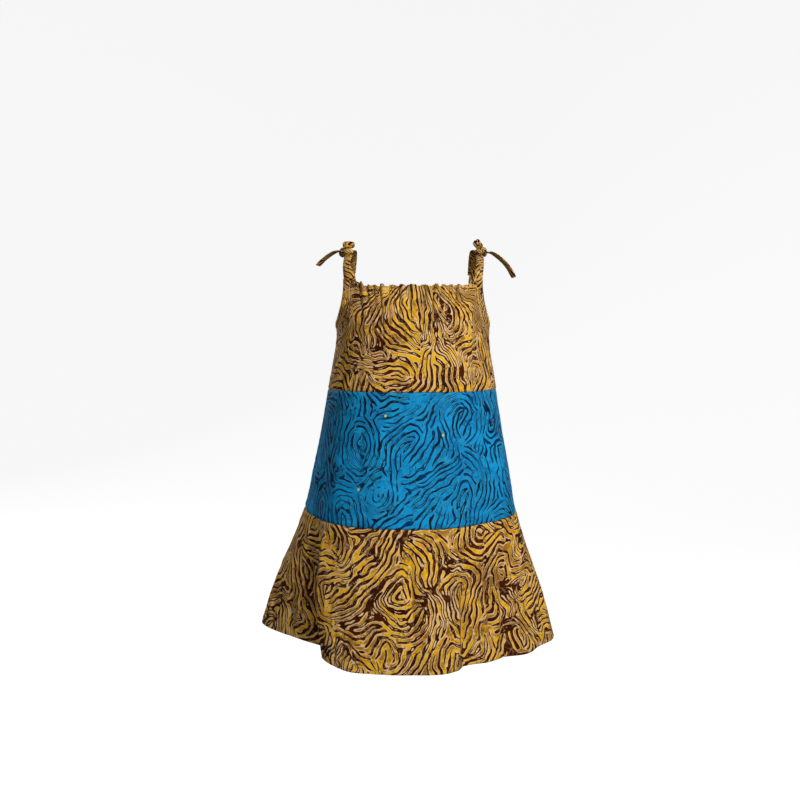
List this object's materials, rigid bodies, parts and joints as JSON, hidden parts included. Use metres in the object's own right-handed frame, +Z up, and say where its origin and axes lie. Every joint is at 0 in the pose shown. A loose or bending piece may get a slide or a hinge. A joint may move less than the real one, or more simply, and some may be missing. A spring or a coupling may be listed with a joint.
{
  "type": "ankara wax print dress",
  "caption": "Child's sleeveless tiered dress in wax print cotton, in its worn shape, with a gathered neckline, a flared hem and straps tied in bows on the shoulders.",
  "frame": {"origin": "midway between the shoulders, on the level where the tied straps rest on them", "axes": "+Z up towards the neck, the front of the dress faces -Y, +X towards the wearer's left"},
  "size_m": [0.4174, 0.299, 0.5857],
  "materials": {
    "yellow_print": "matte",
    "blue_print": "matte",
    "tie_print": "matte"
  },
  "bodies": {
    "root": {"top_front": "yellow_print", "top_back": "yellow_print", "middle_front": "blue_print", "middle_back": "blue_print", "hem_front": "yellow_print", "hem_back": "yellow_print", "armhole_binding_right": "tie_print", "armhole_binding_left": "tie_print", "strap_front_right": "tie_print", "strap_front_left": "tie_print", "strap_back_right": "tie_print", "strap_back_left": "tie_print", "knot_right": "tie_print", "knot_left": "tie_print", "loop_upper_right": "tie_print", "loop_upper_left": "tie_print", "loop_back_right": "tie_print", "loop_back_left": "tie_print", "tail_outer_right": "tie_print", "tail_outer_left": "tie_print", "tail_back_right": "tie_print", "tail_back_left": "tie_print"}
  },
  "joints": []
}
